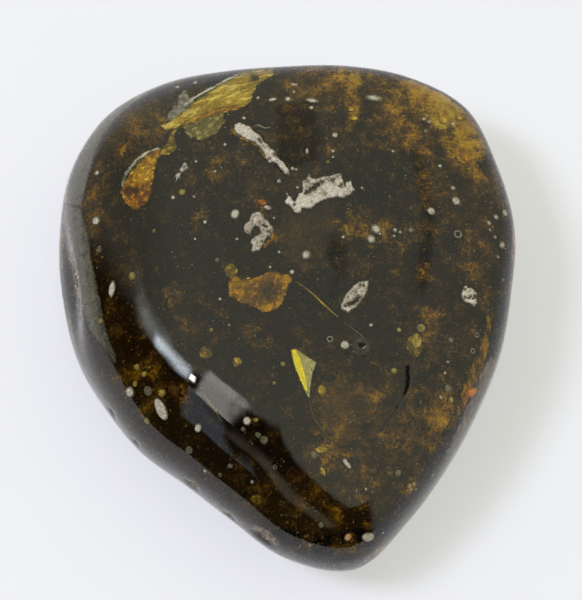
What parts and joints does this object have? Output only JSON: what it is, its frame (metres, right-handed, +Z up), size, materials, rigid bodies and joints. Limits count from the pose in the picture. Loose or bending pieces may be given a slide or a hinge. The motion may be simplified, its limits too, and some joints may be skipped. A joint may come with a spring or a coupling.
{
  "type": "amber nugget",
  "caption": "Drop-shaped polished nugget of dark amber with a broad flat top, a ledge on one flank, and pale bark and husk debris in open sockets.",
  "frame": {"origin": "on the flat spot that the nugget rests on, under the middle of its top", "axes": "+Z up out of the polished top, +Y from the pointed tip towards the broad end, +X to the right seen from above"},
  "size_m": [0.0544, 0.0607, 0.0206],
  "materials": {
    "amber": "polished, see-through dark greenish brown",
    "plant_debris": "dry, chalky, pale grey to cream",
    "mineral_crust": "matt, chalky off-white"
  },
  "bodies": {
    "root": {"amber": "amber", "stem_fragment": "plant_debris", "bark_flake": "plant_debris", "bark_chip": "plant_debris", "seed_husk": "plant_debris", "crust_grain": "mineral_crust", "bark_crumb": "plant_debris"}
  },
  "joints": []
}
